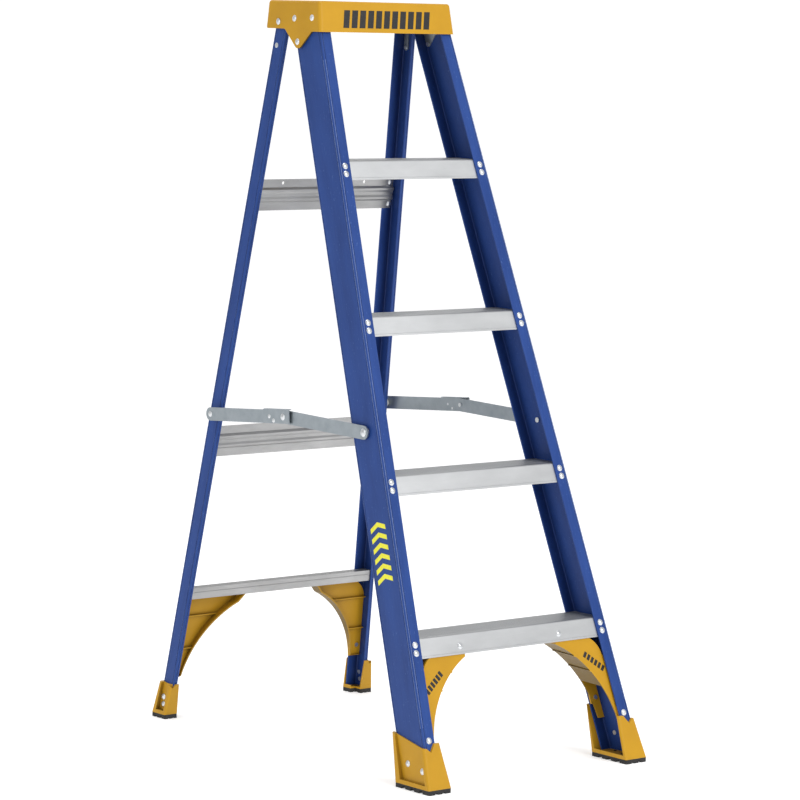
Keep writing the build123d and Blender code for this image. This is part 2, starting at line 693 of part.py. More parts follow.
def cap_underside():
    """What lies below the cap's lower edge, which dips to a lobe over each front rail."""
    corners = ((87, 1366.5, 5), (120, 1334.5, 8), (131, 1334.5, 9), (171, 1371, 12), (232.6, 1371, 10))
    lower = [(y, z) for y, z, _ in corners]
    behind = [(231.0, 1405), (250, 1405), (250, 1300)]
    edge = Polygon((0, 1366.5), *lower, *behind, (0, 1300), align=None)
    for y, z, radius in corners:
        corner = edge.vertices().sort_by_distance((y, z, 0))[0]
        edge = fillet(corner, radius)
    return extrude(Plane.YZ * edge, amount=300, both=True)


def top_cap():
    body = cap_block(0, CAP_BOTTOM, HEIGHT, CAP_RADIUS)
    rim = body.faces().sort_by(Axis.Z)[-1].edges()
    body = fillet(rim, CAP_RIM)
    body -= cap_block(CAP_WALL, CAP_BOTTOM - 5, HEIGHT - CAP_TOP_WALL, CAP_INNER_RADIUS)
    body -= cap_underside()
    width, depth, drop = TRAY
    tray = fillet(Rectangle(width, depth).vertices(), 14)
    body -= extrude(Pos(0, 151, HEIGHT - drop) * tray, amount=5)
    for x in CAP_RIB_X:
        body += block(x - 1.2, x + 1.2, 70, 228, HEIGHT - 20, HEIGHT - CAP_TOP_WALL + 0.5)
    body = drill(body, mirrored_seats(CAP_RIVETS), depth=12)
    return bore(body, FOLD, PIVOT)


def web_plate(frame, spots, radius, thickness):
    """A plate against the inside of a web, with a round end about each (y, z) spot."""
    drawing = Plane(
        origin=frame.origin + frame.x_dir * (RAIL_WALL + TOUCH), x_dir=frame.y_dir, z_dir=frame.x_dir
    )
    edges = []
    for y, z in spots:
        local = drawing.to_local_coords(Vector(web_x(frame, y, z, RAIL_WALL + TOUCH), y, z))
        edges += (Pos(local.X, local.Y) * Circle(radius)).edges()
    return extrude(drawing * make_hull(edges), amount=thickness)


BACKING_WALL = 2.0
PLATE_WALL = 2.5
PLATE_RIVET = web_seat(REAR, *PLATE_RIVET_SPOT)


def backing_plate():
    """Plate inside a front web that the cap's rivets pass through."""
    plate = web_plate(FRONT, CAP_RIVET_SPOTS, 5.6, BACKING_WALL)
    return drill(plate, CAP_RIVETS, depth=16)


def hinge_plate():
    """Strap inside a rear web that carries the fold pivot."""
    strap = web_plate(REAR, [FOLD, PLATE_RIVET_SPOT], 6.2, PLATE_WALL)
    strap = drill(strap, [PLATE_RIVET], depth=12)
    return bore(strap, FOLD, PIVOT + FIT)


# ---- Spreaders ----
REAR_ARM_X = FRONT_ARM_X - ARM_WALL - CLEAR
CLIP_X = REAR_ARM_X - ARM_WALL - TOUCH      # inner face of the clip's cheek
CLIP_OUT = CLIP_X - CLIP_WALL


def arm_plane(start, end, x):
    """Plane of a spreader arm at x: local x runs from start to end, local y is up."""
    run = Vector(0, end[0] - start[0], end[1] - start[1])
    up = Vector(0, -run.Z, run.Y)
    return Plane(origin=(x, *start), x_dir=run, z_dir=run.cross(up))


def arm(start, end, x_inner):
    """Flat arm with round ends."""
    length = sqrt((end[0] - start[0]) ** 2 + (end[1] - start[1]) ** 2)
    blank = Pos(length / 2, 0) * SlotCenterToCenter(length, ARM_HEIGHT)
    plane = arm_plane(start, end, x_inner - ARM_WALL / 2)
    body = extrude(plane * blank, amount=ARM_WALL / 2, both=True)
    body = bore(body, start, PIVOT + FIT)
    return bore(body, end, PIVOT + FIT)


def clip_seats():
    plane = arm_plane(SPREADER_HINGE, SPREADER_REAR, CLIP_OUT)
    return [
        seat(plane.origin + plane.x_dir * along + plane.y_dir * across, OUT)
        for along, across in CLIP_RIVET_STEPS
    ]


CLIP_RIVETS = clip_seats()
CLIP_SHANK = 2.4


def stop_clip():
    """Doubler outside the rear arm's end; its folded lip stops the front arm at rest."""
    plane = arm_plane(SPREADER_HINGE, SPREADER_REAR, CLIP_X - CLIP_WALL / 2)
    middle = (CLIP_BEHIND - CLIP_AHEAD) / 2
    length = CLIP_AHEAD + CLIP_BEHIND
    cheek = fillet(Rectangle(length, ARM_HEIGHT + 2).vertices(), 3.0)
    body = extrude(plane * (Pos(middle, 1.2) * cheek), amount=CLIP_WALL / 2, both=True)
    lip_end = FRONT_ARM_X + 0.5
    lip_plane = arm_plane(SPREADER_HINGE, SPREADER_REAR, (CLIP_OUT + lip_end) / 2)
    lip = Pos(middle, ARM_HEIGHT / 2 + 1.4) * Rectangle(length - 6, 1.6)
    body += extrude(lip_plane * lip, amount=(lip_end - CLIP_OUT) / 2, both=True)
    body = drill(body, CLIP_RIVETS, radius=CLIP_SHANK, depth=20)
    return bore(body, SPREADER_HINGE, PIVOT)


# ---- The ladder ----
def build_front_rails():
    front_rail = rail(FRONT, channel(FRONT_WEB, FRONT_FLANGE, FRONT_FLANGE, 0), FRONT_RAIL_TOP)
    front_rail = drill(front_rail, STEP_RIVETS_FRONT + STEP_RIVETS_REAR + FLANGE_RIVETS, depth=8)
    front_rail = drill(front_rail, CAP_RIVETS + FRONT_BOOT_RIVETS, depth=16)
    front_rail = bore(front_rail, SPREADER_FRONT, PIVOT)
    save_pair("front_rail", front_rail)


def build_front_rivets():
    grip = SKIRT_DEPTH + STEP_WALL
    step_rivets = [rivet(place, grip) for place in STEP_RIVETS_FRONT + STEP_RIVETS_REAR]
    save("step_rivets", both_sides(step_rivets))
    brace_rivets = [rivet(place, BRACE_DEPTH + BRACE_SKIN) for place in FLANGE_RIVETS]
    brace_rivets.append(rivet(BRACE_SKIRT_SEAT, STEP_WALL + BRACE_SKIN + 0.1))
    save("front_brace_rivets", both_sides(brace_rivets))
    boot_rivets = [rivet(p, grip_to(p, FRONT, RAIL_WALL) + 0.1) for p in FRONT_BOOT_RIVETS]
    save("front_boot_rivets", both_sides(boot_rivets))
    inside = RAIL_WALL + TOUCH + BACKING_WALL
    cap_rivets = [rivet(p, grip_to(p, FRONT, inside) + 0.1) for p in CAP_RIVETS]
    save("cap_rivets", both_sides(cap_rivets))


def build_front_pivots():
    inside = web_x(REAR, *FOLD, RAIL_WALL + TOUCH + PLATE_WALL) + 0.7
    fold_pin = cross_pin(FOLD, -cap_half(FOLD[1]) - 0.7, inside, head=HEAD, dome=DOME)
    save("fold_pins", both_sides([fold_pin]))
    inside = web_x(FRONT, *SPREADER_FRONT, RAIL_WALL) + 0.6
    pin = cross_pin(SPREADER_FRONT, FRONT_ARM_X - ARM_WALL - 0.3, inside)
    save("spreader_front_pins", both_sides([pin]))
    outside = web_x(FRONT, *SPREADER_FRONT)
    washer = ring(SPREADER_FRONT, FRONT_ARM_X + 0.3, outside + 3.0, 9.5)
    washer -= leg_block(FRONT, -TOUCH, 30, -50, 150, 500, 900)
    save("spreader_front_washers", both_sides([washer]))


def build_front_section():
    build_front_rails()
    for number in range(STEP_COUNT):
        save(f"step_{number + 1}", step(number))
    save("top_cap", top_cap())
    save_pair("cap_backing_plate", backing_plate())
    save_pair("front_boot", front_boot())
    save_pair("front_pad", front_pad())
    save_pair("front_brace", front_brace())
    build_front_rivets()
    build_front_pivots()


def build_rear_rails():
    rear_rail = rail(REAR, channel(REAR_WEB, REAR_LIP, REAR_FLANGE, -REAR_WEB), REAR_RAIL_TOP)
    flange_rivets = [place for places in HORIZONTAL_RIVETS.values() for place in places]
    rear_rail = drill(rear_rail, [*flange_rivets, REAR_BRACE_RIVET], depth=8)
    rear_rail = drill(rear_rail, [*REAR_BOOT_RIVETS, PLATE_RIVET], depth=14)
    rear_rail = bore(rear_rail, FOLD, PIVOT + FIT)
    rear_rail = bore(rear_rail, SPREADER_REAR, PIVOT)
    save_pair("rear_rail", rear_rail)


def build_rear_rivets():
    grip = RAIL_WALL + TOUCH + HORIZONTAL_WALL
    places = [place for pair in HORIZONTAL_RIVETS.values() for place in pair]
    horizontal_rivets = [rivet(place, grip, head=5.6) for place in places]
    save("rear_horizontal_rivets", both_sides(horizontal_rivets))
    brace_rivets = [rivet(REAR_BRACE_RIVET, REAR_BRACE_DEPTH + REAR_BRACE_SKIN)]
    brace_rivets += [rivet(place, BAR_WALL + REAR_BRACE_SKIN + 0.2) for place in BAR_RIVETS]
    save("rear_brace_rivets", both_sides(brace_rivets))
    boot_rivets = [rivet(p, grip_to(p, REAR, RAIL_WALL) + 0.1) for p in REAR_BOOT_RIVETS]
    save("rear_boot_rivets", both_sides(boot_rivets))
    plate_grip = RAIL_WALL + TOUCH + PLATE_WALL
    save("hinge_plate_rivets", both_sides([rivet(PLATE_RIVET, plate_grip, head=5.0, dome=0.5)]))


def build_rear_sockets():
    """Formed end of the spreader's rear pin, in and behind the rear web."""
    outside = web_x(REAR, *SPREADER_REAR)
    inside = web_x(REAR, *SPREADER_REAR, RAIL_WALL) + 0.7
    socket = ring(SPREADER_REAR, outside, inside + 1.6, PIVOT, 1.5)
    socket += ring(SPREADER_REAR, inside, inside + 1.6, 6.5, 1.5)
    save("spreader_rear_sockets", both_sides([socket]))


def build_rear_section():
    build_rear_rails()
    for name in HORIZONTAL_MIDDLES:
        save(f"rear_horizontal_{name}", rear_horizontal(name))
    save("rear_horizontal_bottom", bottom_horizontal())
    save_pair("rear_boot", rear_boot())
    save_pair("rear_pad", rear_pad())
    save_pair("rear_brace", rear_brace())
    save_pair("hinge_plate", hinge_plate())
    build_rear_rivets()
    build_rear_sockets()


def build_spreaders():
    save_pair("spreader_front_arm", arm(SPREADER_FRONT, SPREADER_HINGE, FRONT_ARM_X))
    rear_arm = arm(SPREADER_HINGE, SPREADER_REAR, REAR_ARM_X)
    rear_arm = drill(rear_arm, CLIP_RIVETS, radius=CLIP_SHANK, depth=20)
    save_pair("spreader_rear_arm", rear_arm)
    save_pair("spreader_stop_clip", stop_clip())
    save_pair(
        "spreader_hinge_pin",
        cross_pin(SPREADER_HINGE, CLIP_OUT, FRONT_ARM_X + 0.3, head=6.5, dome=2.6),
    )
    web = web_x(REAR, *SPREADER_REAR)
    rear_pin = cross_pin(SPREADER_REAR, CLIP_X + TOUCH, web - 1.5, head=5.8, dome=DOME, tail=0)
    save_pair("spreader_rear_pin", rear_pin)
    save_pair("spreader_rear_bush", ring(SPREADER_REAR, REAR_ARM_X, web - 1.2, 7.0))
    grip = CLIP_WALL + TOUCH + ARM_WALL
    clip_rivets = [
        rivet(place, grip, shank=CLIP_SHANK, head=4.2, dome=1.8, tail=0) for place in CLIP_RIVETS
    ]
    save("spreader_clip_rivets_left", clip_rivets)
    save("spreader_clip_rivets_right", [right_of(piece) for piece in clip_rivets])


build_front_section()
build_rear_section()
build_spreaders()
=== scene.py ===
import math

import bmesh
import bpy
from mathutils import Matrix, Vector


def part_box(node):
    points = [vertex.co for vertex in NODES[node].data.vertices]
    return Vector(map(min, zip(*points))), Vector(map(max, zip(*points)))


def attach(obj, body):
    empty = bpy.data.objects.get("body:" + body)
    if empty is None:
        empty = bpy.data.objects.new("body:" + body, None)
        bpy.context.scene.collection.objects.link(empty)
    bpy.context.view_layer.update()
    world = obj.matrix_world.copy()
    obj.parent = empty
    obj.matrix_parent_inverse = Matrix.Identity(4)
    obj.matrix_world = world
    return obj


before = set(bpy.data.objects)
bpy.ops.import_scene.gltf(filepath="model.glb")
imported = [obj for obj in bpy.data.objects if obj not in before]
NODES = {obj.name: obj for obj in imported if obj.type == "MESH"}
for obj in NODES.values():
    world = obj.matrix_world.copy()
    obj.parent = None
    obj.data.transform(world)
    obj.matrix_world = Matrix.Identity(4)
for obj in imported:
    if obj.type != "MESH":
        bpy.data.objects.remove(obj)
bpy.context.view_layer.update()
SCENE = bpy.context.scene

# Lean and splay of the rails, and the outer front corner of a front rail carried down
# to the floor, as in the CAD model.  All lengths are in metres.
FRONT_RAKE = math.tan(math.radians(20.0))
FRONT_SPLAY = 0.0728
REAR_RAKE = -math.tan(math.radians(9.3))
REAR_SPLAY = 0.0666
FRONT_FOOT_X = 0.262
FRONT_FOOT_Y = -0.4314

EVEN = (1.0, 1.0, 1.0)      # a texture that isn't stretched
BLACK = (0.0, 0.0, 0.0)


# ---- Node helpers ----
class Graph:
    """A material's node tree with short ways to add and join nodes."""

    def __init__(self, name):
        self.material = bpy.data.materials.new(name)
        self.material.use_nodes = True
        self.tree = self.material.node_tree
        self.shader = self.tree.nodes["Principled BSDF"]

    def add(self, kind, **settings):
        node = self.tree.nodes.new(kind)
        for key, value in settings.items():
            setattr(node, key, value)
        return node

    def join(self, start, end):
        self.tree.links.new(start, end)

    def coordinates(self, scale, turn=(0.0, 0.0, 0.0)):
        """Row-frame position, turned and then stretched."""
        place = self.add("ShaderNodeTexCoord")
        turned = self.add("ShaderNodeMapping")
        turned.inputs["Rotation"].default_value = turn
        self.join(place.outputs["Object"], turned.inputs["Vector"])
        sized = self.add("ShaderNodeMapping")
        sized.inputs["Scale"].default_value = scale
        self.join(turned.outputs["Vector"], sized.inputs["Vector"])
        return sized.outputs["Vector"]

    def noise(self, vector, scale, detail=3.0, rough=0.55):
        node = self.add("ShaderNodeTexNoise")
        node.inputs["Scale"].default_value = scale
        node.inputs["Detail"].default_value = detail
        node.inputs["Roughness"].default_value = rough
        self.join(vector, node.inputs["Vector"])
        return node.outputs["Fac"]

    def ramp(self, value, stops):
        """A colour or grey ramp from (position, colour) stops."""
        node = self.add("ShaderNodeValToRGB")
        elements = node.color_ramp.elements
        while len(elements) < len(stops):
            elements.new(0.5)
        for element, (position, colour) in zip(elements, stops):
            element.position = position
            element.color = (*colour, 1.0)
        self.join(value, node.inputs["Fac"])
        return node.outputs["Color"]

    def mask(self, value, start, end, top=1.0):
        """Black below start, rising to grey of this level at end."""
        return self.ramp(value, [(start, BLACK), (end, (top, top, top))])

    def math(self, operation, first, second):
        node = self.add("ShaderNodeMath", operation=operation)
        self.join(first, node.inputs[0])
        self.join(second, node.inputs[1])
        return node.outputs[0]

    def mix(self, factor, first, second):
        """Colour between first and second; each value is a socket or a constant."""
        node = self.add("ShaderNodeMix", data_type="RGBA")
        sockets = (node.inputs[0], node.inputs[6], node.inputs[7])
        for socket, value in zip(sockets, (factor, first, second)):
            if isinstance(value, bpy.types.NodeSocket):
                self.join(value, socket)
            else:
                socket.default_value = value if isinstance(value, float) else (*value, 1.0)
        return node.outputs[2]

    def range(self, value, low, high):
        """A 0 to 1 value carried to low to high."""
        node = self.add("ShaderNodeMapRange")
        node.inputs["To Min"].default_value = low
        node.inputs["To Max"].default_value = high
        self.join(value, node.inputs["Value"])
        return node.outputs["Result"]

    def bump(self, height, strength, distance, under=None):
        node = self.add("ShaderNodeBump")
        node.inputs["Strength"].default_value = strength
        node.inputs["Distance"].default_value = distance
        self.join(height, node.inputs["Height"])
        if under is not None:
            self.join(under, node.inputs["Normal"])
        return node.outputs["Normal"]

    def edges(self, radius):
        """1 on convex edges, 0 elsewhere, from how far a bevelled normal turns."""
        bevel = self.add("ShaderNodeBevel", samples=4)
        bevel.inputs["Radius"].default_value = radius
        geometry = self.add("ShaderNodeNewGeometry")
        dot = self.add("ShaderNodeVectorMath", operation="DOT_PRODUCT")
        self.join(bevel.outputs["Normal"], dot.inputs[0])
        self.join(geometry.outputs["True Normal"], dot.inputs[1])
        node = self.add("ShaderNodeMapRange")
        node.inputs["From Min"].default_value = 0.97
        node.inputs["From Max"].default_value = 0.80
        self.join(dot.outputs["Value"], node.inputs["Value"])
        return node.outputs["Result"]

    def recess(self, reach, low, high):
        """0 deep inside a recess, 1 on open surfaces; the mask for painted shade in recesses."""
        open_sky = self.add("ShaderNodeAmbientOcclusion", samples=6, only_local=True)
        open_sky.inputs["Distance"].default_value = reach
        node = self.add("ShaderNodeMapRange")
        node.inputs["From Min"].default_value = low
        node.inputs["From Max"].default_value = high
        self.join(open_sky.outputs["AO"], node.inputs["Value"])
        return node.outputs["Result"]

    def facing_up(self, start, end):
        """0 where the normal's height is start, 1 where it is end."""
        geometry = self.add("ShaderNodeNewGeometry")
        parts = self.add("ShaderNodeSeparateXYZ")
        self.join(geometry.outputs["True Normal"], parts.inputs["Vector"])
        node = self.add("ShaderNodeMapRange")
        node.inputs["From Min"].default_value = start
        node.inputs["From Max"].default_value = end
        self.join(parts.outputs["Z"], node.inputs["Value"])
        return node.outputs["Result"]

    def finish(self, colour=None, rough=None, normal=None):
        for name, value in (("Base Color", colour), ("Roughness", rough), ("Normal", normal)):
            if value is not None:
                self.join(value, self.shader.inputs[name])
        return self.material

    def set(self, **values):
        for name, value in values.items():
            self.shader.inputs[name.replace("_", " ")].default_value = value


def along_rail(rake, splay):
    """Rotation that stands a left or right rail upright."""
    return (math.atan(rake), -math.atan(splay), 0.0)


# ---- Materials ----
def fibreglass(name, rake, splay):
    """Pultruded resin: blue, strands of glass along the rail, pale flecks, edges lighter in patches
    (partly wear, partly a painted highlight), and painted shade in recesses.
    """
    g = Graph(name)
    upright = along_rail(rake, splay)
    fine = g.noise(g.coordinates((1.0, 1.0, 0.03), upright), 900.0, 4.0, 0.6)
    broad = g.noise(g.coordinates((1.0, 1.0, 0.25), upright), 28.0, 3.0)
    fleck = g.noise(g.coordinates((1.0, 1.0, 0.35), upright), 420.0, 2.0, 0.7)
    colour = g.ramp(broad, [(0.30, (0.011, 0.043, 0.200)), (0.72, (0.018, 0.061, 0.262))])
    colour = g.mix(g.mask(fine, 0.42, 0.78, 0.26), colour, (0.038, 0.098, 0.34))
    colour = g.mix(g.mask(fleck, 0.66, 0.76, 0.55), colour, (0.12, 0.22, 0.52))
    # Lighter convex edges in patches: partly wear, partly a painted highlight along the rail
    # corners.
    patch = g.noise(g.coordinates((1.0, 1.0, 0.2)), 160.0, 3.0)
    patch = g.range(g.mask(patch, 0.42, 0.60), 0.0, 0.55)
    colour = g.mix(g.math("MULTIPLY", g.edges(0.0012), patch), colour, (0.20, 0.32, 0.62))
    # Painted shade: the colour falls to a near-black blue inside the channel and other recesses,
    # from an occlusion mask.
    colour = g.mix(g.recess(0.07, 0.35, 0.90), (0.006, 0.012, 0.060), colour)
    normal = g.bump(fine, 0.22, 0.00035)
    normal = g.bump(fleck, 0.10, 0.0003, normal)
    g.set(Coat_Weight=0.03, Coat_Roughness=0.30, Specular_IOR_Level=0.24)
    return g.finish(colour, g.range(broad, 0.34, 0.52), normal)


def moulded(name):
    """Moulded yellow plastic: pebbled skin, lighter convex edges, and painted shade in recesses and
    on undersides.
    """
    g = Graph(name)
    place = g.coordinates(EVEN)
    tone = g.noise(place, 14.0, 3.0)
    grain = g.noise(place, 1400.0, 2.0, 0.5)
    flow = g.noise(g.coordinates((1.0, 1.0, 0.35)), 60.0, 4.0)
    colour = g.ramp(tone, [(0.3, (0.50, 0.262, 0.008)), (0.75, (0.57, 0.305, 0.010))])
    colour = g.mix(g.range(flow, 0.0, 0.25), colour, (0.54, 0.27, 0.014))
    # Lighter yellow on convex edges.
    colour = g.mix(g.range(g.edges(0.0015), 0.0, 0.40), colour, (0.80, 0.50, 0.07))
    # Painted shade: dark brown-yellow inside recesses, from an occlusion mask.
    colour = g.mix(g.recess(0.05, 0.25, 0.75), (0.17, 0.085, 0.008), colour)
    # Painted shade: faces that look downward, such as the brace undersides, take a dark
    # brown-yellow.
    colour = g.mix(g.facing_up(-0.10, -0.45), colour, (0.16, 0.095, 0.010))
    normal = g.bump(grain, 0.30, 0.0002)
    normal = g.bump(flow, 0.06, 0.0008, normal)
    g.set(Specular_IOR_Level=0.30)
    return g.finish(colour, g.range(grain, 0.38, 0.56), normal)


def extruded(name, dark, light, rough, top_shade=1.0):
    """Mill aluminium: die lines along X, faint clouds, small scuffs, and painted shade on the top
    faces.
    """
    g = Graph(name)
    lines = g.noise(g.coordinates((0.012, 1.0, 1.0)), 1600.0, 4.0, 0.65)
    cloud = g.noise(g.coordinates((0.35, 1.0, 1.0)), 22.0, 4.0)
    scuff = g.noise(g.coordinates((0.10, 1.0, 0.6), (0.0, 0.4, 0.3)), 240.0, 5.0, 0.7)
    colour = g.ramp(cloud, [(0.28, dark), (0.70, light)])
    colour = g.mix(g.mask(lines, 0.40, 0.80, 0.30), colour, dark)
    # Painted shade: faces that look up take a darker copy of the dark colour.
    top = tuple(top_shade * value for value in dark)
    colour = g.mix(g.facing_up(0.6, 0.95), colour, top)
    scuffed = g.range(g.mask(scuff, 0.55, 0.72), 0.0, 0.14)
    roughness = g.math("ADD", g.range(lines, rough, rough + 0.12), scuffed)
    g.set(Metallic=0.85)
    return g.finish(colour, roughness, g.bump(lines, 0.20, 0.00025))


def plated(name, low, high, rough):
    """Zinc-plated steel: soft spangle and fine scratches."""
    g = Graph(name)
    cells = g.add("ShaderNodeTexVoronoi")
    cells.inputs["Scale"].default_value = 260.0
    g.join(g.coordinates(EVEN), cells.inputs["Vector"])
    tone = g.noise(g.coordinates(EVEN), 60.0, 4.0)
    scratch = g.noise(g.coordinates((1.0, 0.04, 1.0), (0.2, 0.0, 0.0)), 1200.0, 3.0)
    colour = g.ramp(tone, [(0.3, low), (0.7, high)])
    colour = g.mix(g.range(cells.outputs["Distance"], 0.0, 0.05), colour, low)
    g.set(Metallic=0.9)
    return g.finish(colour, g.range(tone, rough, rough + 0.16), g.bump(scratch, 0.10, 0.0002))


def rubber(name):
    """Black rubber, grained and slightly dusty."""
    g = Graph(name)
    place = g.coordinates(EVEN)
    grain = g.noise(place, 900.0, 3.0)
    dust = g.noise(place, 70.0, 4.0)
    colour = g.ramp(dust, [(0.35, (0.010, 0.010, 0.011)), (0.80, (0.036, 0.035, 0.034))])
    return g.finish(colour, g.range(dust, 0.62, 0.85), g.bump(grain, 0.35, 0.0003))


def nylon(name):
    """Off-white moulded spacers."""
    g = Graph(name)
    place = g.coordinates(EVEN)
    tone = g.noise(place, 120.0, 3.0)
    colour = g.ramp(tone, [(0.3, (0.56, 0.56, 0.53)), (0.7, (0.70, 0.70, 0.67))])
    return g.finish(colour, g.range(tone, 0.40, 0.55), g.bump(tone, 0.08, 0.0003))


def ink(name, low, high):
    """Printed or applied colour with slightly uneven cover; also the painted highlight lines on the
    rail beads.
    """
    g = Graph(name)
    place = g.coordinates(EVEN)
    tone = g.noise(place, 220.0, 4.0)
    colour = g.ramp(tone, [(0.3, low), (0.7, high)])
    return g.finish(colour, g.range(tone, 0.36, 0.52), g.bump(tone, 0.05, 0.0002))


MATERIALS = {
    "front_rail": fibreglass("fibreglass_front", FRONT_RAKE, FRONT_SPLAY),
    "rear_rail": fibreglass("fibreglass_rear", REAR_RAKE, REAR_SPLAY),
    "yellow": moulded("moulded_yellow"),
    "tread": extruded("aluminium_tread", (0.54, 0.55, 0.56), (0.65, 0.66, 0.67), 0.36, 0.72),
    "bar": extruded("aluminium_bar", (0.34, 0.34, 0.34), (0.46, 0.46, 0.46), 0.32),
    "plated": plated("zinc_plated", (0.31, 0.35, 0.38), (0.38, 0.42, 0.45), 0.34),
    "rivet": plated("rivet_steel", (0.62, 0.64, 0.66), (0.78, 0.80, 0.81), 0.24),
    "rubber": rubber("rubber"),
    "nylon": nylon("nylon_spacer"),
    "black": ink("ink_black", (0.006, 0.006, 0.007), (0.016, 0.016, 0.017)),
    # bead: the colour of the painted highlight lines on the rail beads.
    "bead": ink("bead_highlight_blue", (0.10, 0.17, 0.42), (0.24, 0.33, 0.60)),
    "print_yellow": ink("ink_yellow", (0.78, 0.74, 0.02), (0.90, 0.86, 0.05)),
}


def material_of(node):
    """The finish of a CAD node, by its name."""
    if "rivet" in node or "_pin" in node or "socket" in node:
        return MATERIALS["rivet"]
    if node.startswith("front_rail"):
        return MATERIALS["front_rail"]
    if node.startswith("rear_rail"):
        return MATERIALS["rear_rail"]
    if "washer" in node or "bush" in node:
        return MATERIALS["nylon"]
    if "spreader" in node or "plate" in node:
        return MATERIALS["plated"]
    if node.startswith("step_"):
        return MATERIALS["tread"]
    if node.startswith("rear_horizontal"):
        return MATERIALS["bar"]
    if "pad" in node:
        return MATERIALS["rubber"]
    return MATERIALS["yellow"]


def dress_nodes():
    """Give every CAD node its finish."""
    for name, node in NODES.items():
        node.data.materials.clear()
        node.data.materials.append(material_of(name))


# ---- Printed marks and painted highlight lines: plain generic bars and strips laid on the CAD surfaces ----
LIFT = 0.00025      # how far a print stands off its surface


def subdivide(outline, size):
    """Flat mesh over a polygon's outline, cut finely enough to follow a curved face."""
    bm = bmesh.new()
    bm.faces.new([bm.verts.new((x, y, 0.0)) for x, y in outline])
    longest = max(edge.calc_length() for edge in bm.edges)
    bmesh.ops.triangulate(bm, faces=bm.faces[:])
    cuts = max(1, int(longest / size))
    bmesh.ops.subdivide_edges(bm, edges=bm.edges[:], cuts=cuts, use_grid_fill=True)
    return bm


def lay(bm, place, node, back):
    """Drop a flat mesh on a node along -z of place; False if any point misses it."""
    direction = -(place.to_3x3() @ Vector((0, 0, 1))).normalized()
    target = NODES[node]
    for vertex in bm.verts:
        start = place @ vertex.co - direction * back
        hit, point, normal, _ = target.ray_cast(start, direction)
        if not hit:
            return False
        vertex.co = point + normal * LIFT
    return True


def lay_prints_and_highlights(name, outlines, place, node, body, material, size=0.006, back=0.02):
    """One piece from several outlines, in metres in the plane of place."""
    joined = bmesh.new()
    for outline in outlines:
        bm = subdivide(outline, size)
        if lay(bm, place, node, back):
            mesh = bpy.data.meshes.new("part")
            bm.to_mesh(mesh)
            joined.from_mesh(mesh)
            bpy.data.meshes.remove(mesh)
        bm.free()
    top = joined.faces[:]
    made = bmesh.ops.extrude_face_region(joined, geom=top)
    sunk = [v for v in made["geom"] if isinstance(v, bmesh.types.BMVert)]
    depth = (place.to_3x3() @ Vector((0, 0, 1))).normalized() * (2 * LIFT)
    bmesh.ops.translate(joined, verts=sunk, vec=-depth)
    bmesh.ops.recalc_face_normals(joined, faces=joined.faces[:])
    mesh = bpy.data.meshes.new(name)
    joined.to_mesh(mesh)
    joined.free()
    mesh.materials.append(material)
    piece = bpy.data.objects.new(name, mesh)
    SCENE.collection.objects.link(piece)
    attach(piece, body)


def facing(origin, out, up):
    """Placement whose z points out of a surface and whose y is as near up as it can be."""
    z = Vector(out).normalized()
    x = Vector(up).cross(z).normalized()
    y = z.cross(x)
    turn = Matrix((x, y, z)).transposed().to_4x4()
    return Matrix.Translation(origin) @ turn


def slanted(x, y, width, height, slant):
    """A bar from its lower left corner, leaning right by slant."""
    return [(x, y), (x + width, y), (x + width + slant, y + height), (x + slant, y + height)]


def cap_marks():
    """A row of slanted bars across the front of the cap."""
    low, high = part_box("top_cap")
    count, width, pitch, height, slant = 11, 0.0140, 0.0198, 0.034, 0.006
    left = -0.110
    place = facing(Vector((0.0, low.y - 0.001, high.z - 0.0325)), (0.0, -1.0, 0.17), (0, 0, 1))
    bars = [slanted(left + i * pitch, -height / 2, width, height, slant) for i in range(count)]
    lay_prints_and_highlights("print_cap_front", bars, place, "top_cap", "front_section", MATERIALS["black"])


SIDES = ((-1, "left"), (1, "right"))


def front_plane_point(x, z):
    """A point on the front plane of the front rails."""
    return Vector((x, FRONT_FOOT_Y + FRONT_RAKE * z, z))


def rail_corner(side, z):
    """The outer front corner of a front rail at this height."""
    return front_plane_point(side * (FRONT_FOOT_X - FRONT_SPLAY * z), z)


def rail_axes(side):
    """A front rail's directions: up the rail, rearward, and out of its web."""
    along = Vector((-side * FRONT_SPLAY, FRONT_RAKE, 1.0)).normalized()
    rearward = Vector((0.0, 1.0, -FRONT_RAKE)).normalized()
    out = along.cross(rearward)
    return along, rearward, out if out.x * side > 0 else -out


def chevron(y, half_width, rise):
    """A chevron that points up, from y at its tips."""
    inner, outer = y + rise, y + 2 * rise
    left = [(0, outer), (-half_width, inner)]
    return [(-half_width, y), (0, inner), (half_width, y), (half_width, inner), *left]


def rail_marks():
    """Yellow chevrons up the outside of each front rail."""
    count, pitch, lowest, half_width, rise = 6, 0.0195, -0.056, 0.022, 0.009
    height, inset = 0.428, 0.042
    marks = [chevron(lowest + i * pitch, half_width, rise) for i in range(count)]
    for side, word in SIDES:
        node = f"front_rail_{word}"
        along, rearward, out = rail_axes(side)
        place = facing(rail_corner(side, height) + rearward * inset, out, along)
        lay_prints_and_highlights(f"print_{node}", marks, place, node, "front_section", MATERIALS["print_yellow"])


def bead_highlight_lines():
    """Painted highlight: pale lines down the front corner bead of each front rail, on the web and
    the flange.
    """
    middle, length, width, inset = 0.715, 1.28, 0.0007, 0.0029
    strip = slanted(-width / 2, -length / 2, width, length, 0.0)
    for side, word in SIDES:
        node = f"front_rail_{word}"
        along, rearward, out = rail_axes(side)
        corner = rail_corner(side, middle)
        for face, offset, normal in (("web", rearward, out), ("flange", -out, -rearward)):
            place = facing(corner + offset * inset, normal, along)
            piece = f"bead_{face}_{node}"
            lay_prints_and_highlights(piece, [strip], place, node, "front_section", MATERIALS["bead"], size=0.4)


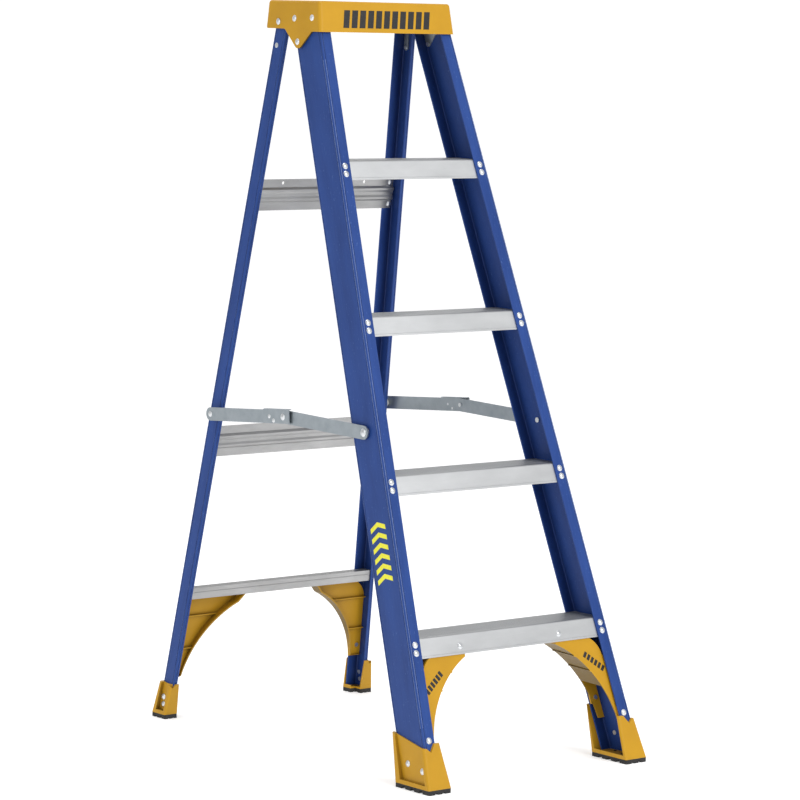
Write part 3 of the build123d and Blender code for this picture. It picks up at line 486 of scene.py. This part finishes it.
def brace_marks():
    """Short black bars in a row along each front brace's face."""
    count, pitch, left, width, height = 6, 0.0095, -0.0275, 0.0062, 0.012
    bars = [slanted(left + i * pitch, -height / 2, width, height, 0.0) for i in range(count)]
    out = Vector((0.0, -1.0, FRONT_RAKE)).normalized()
    for side, word in SIDES:
        node = f"front_brace_{word}"
        place = facing(front_plane_point(side * 0.1985, 0.190), out, (side * 0.62, 0.28, 0.74))
        black = MATERIALS["black"]
        lay_prints_and_highlights(f"print_{node}", bars, place, node, "front_section", black, back=0.05)


def build_prints():
    cap_marks()
    rail_marks()
    bead_highlight_lines()
    brace_marks()


# ---- Stage ----
WHITE = (1.0, 1.0, 1.0, 1.0)


def backdrop_white():
    """Near-white paper that glows a little, so that it stays white under soft light."""
    g = Graph("backdrop_white")
    g.set(Base_Color=(0.93, 0.93, 0.93, 1.0), Roughness=0.9, Specular_IOR_Level=0.1)
    g.set(Emission_Color=WHITE, Emission_Strength=0.32)
    return g.material


def backdrop():
    """Floor that curves up into a wall far behind the object."""
    reach, floor_end, radius, wall_top = 14.0, 5.0, 4.0, 14.0
    steps = 16
    profile = [(-reach, 0.0), (floor_end, 0.0)]
    for i in range(1, steps + 1):
        a = math.pi / 2 * i / steps
        profile.append((floor_end + radius * math.sin(a), radius - radius * math.cos(a)))
    profile.append((floor_end + radius, wall_top))
    turn = Matrix.Rotation(-math.radians(39.6), 3, "Z")
    bm = bmesh.new()
    rows = []
    for x in (-reach, reach):
        rows.append([bm.verts.new(turn @ Vector((x, y, z))) for y, z in profile])
    for i in range(len(profile) - 1):
        bm.faces.new((rows[0][i], rows[1][i], rows[1][i + 1], rows[0][i + 1]))
    for face in bm.faces:
        face.smooth = True
    mesh = bpy.data.meshes.new("backdrop")
    bm.to_mesh(mesh)
    bm.free()
    mesh.materials.append(backdrop_white())
    floor = bpy.data.objects.new("backdrop", mesh)
    SCENE.collection.objects.link(floor)


def softbox(name, position, target, size, power):
    """A rectangular area light aimed at the target."""
    light = bpy.data.lights.new(name, "AREA")
    light.shape = "RECTANGLE"
    light.size, light.size_y = size
    light.energy = power
    lamp = bpy.data.objects.new(name, light)
    lamp.location = position
    lamp.rotation_euler = (Vector(target) - Vector(position)).to_track_quat("-Z", "Y").to_euler()
    SCENE.collection.objects.link(lamp)


def lighting():
    """Even white surroundings with soft lights in front, at the left and above."""
    world = bpy.data.worlds.new("studio")
    world.use_nodes = True
    background = world.node_tree.nodes["Background"]
    background.inputs["Color"].default_value = WHITE
    background.inputs["Strength"].default_value = 0.58
    SCENE.world = world
    middle = (0.0, 0.0, 0.8)
    softbox("key", (0.6, -4.4, 3.2), middle, (2.6, 2.2), 112.0)
    softbox("left", (-4.6, -1.0, 2.4), middle, (2.0, 2.4), 25.0)
    softbox("top", (0.0, 0.4, 4.6), middle, (3.0, 3.0), 55.0)


def camera():
    """The photographer's place, aim and small roll."""
    data = bpy.data.cameras.new("camera")
    data.lens = 158.36
    data.sensor_width = 36.0
    data.clip_start = 0.1
    data.clip_end = 100.0
    seen = bpy.data.objects.new("camera", data)
    forward = Vector((0.6339, 0.7658, -0.1084)).normalized()
    right = forward.cross(Vector((0, 0, 1))).normalized()
    up = right.cross(forward)
    roll = math.radians(1.325)
    turned_right = right * math.cos(roll) + up * math.sin(roll)
    turned_up = up * math.cos(roll) - right * math.sin(roll)
    turn = Matrix((turned_right, turned_up, -forward)).transposed().to_4x4()
    seen.matrix_world = Matrix.Translation((-4.3039, -5.1996, 1.3995)) @ turn
    SCENE.collection.objects.link(seen)
    SCENE.camera = seen


camera()
dress_nodes()
build_prints()
backdrop()
lighting()
SCENE.view_settings.view_transform = "Standard"
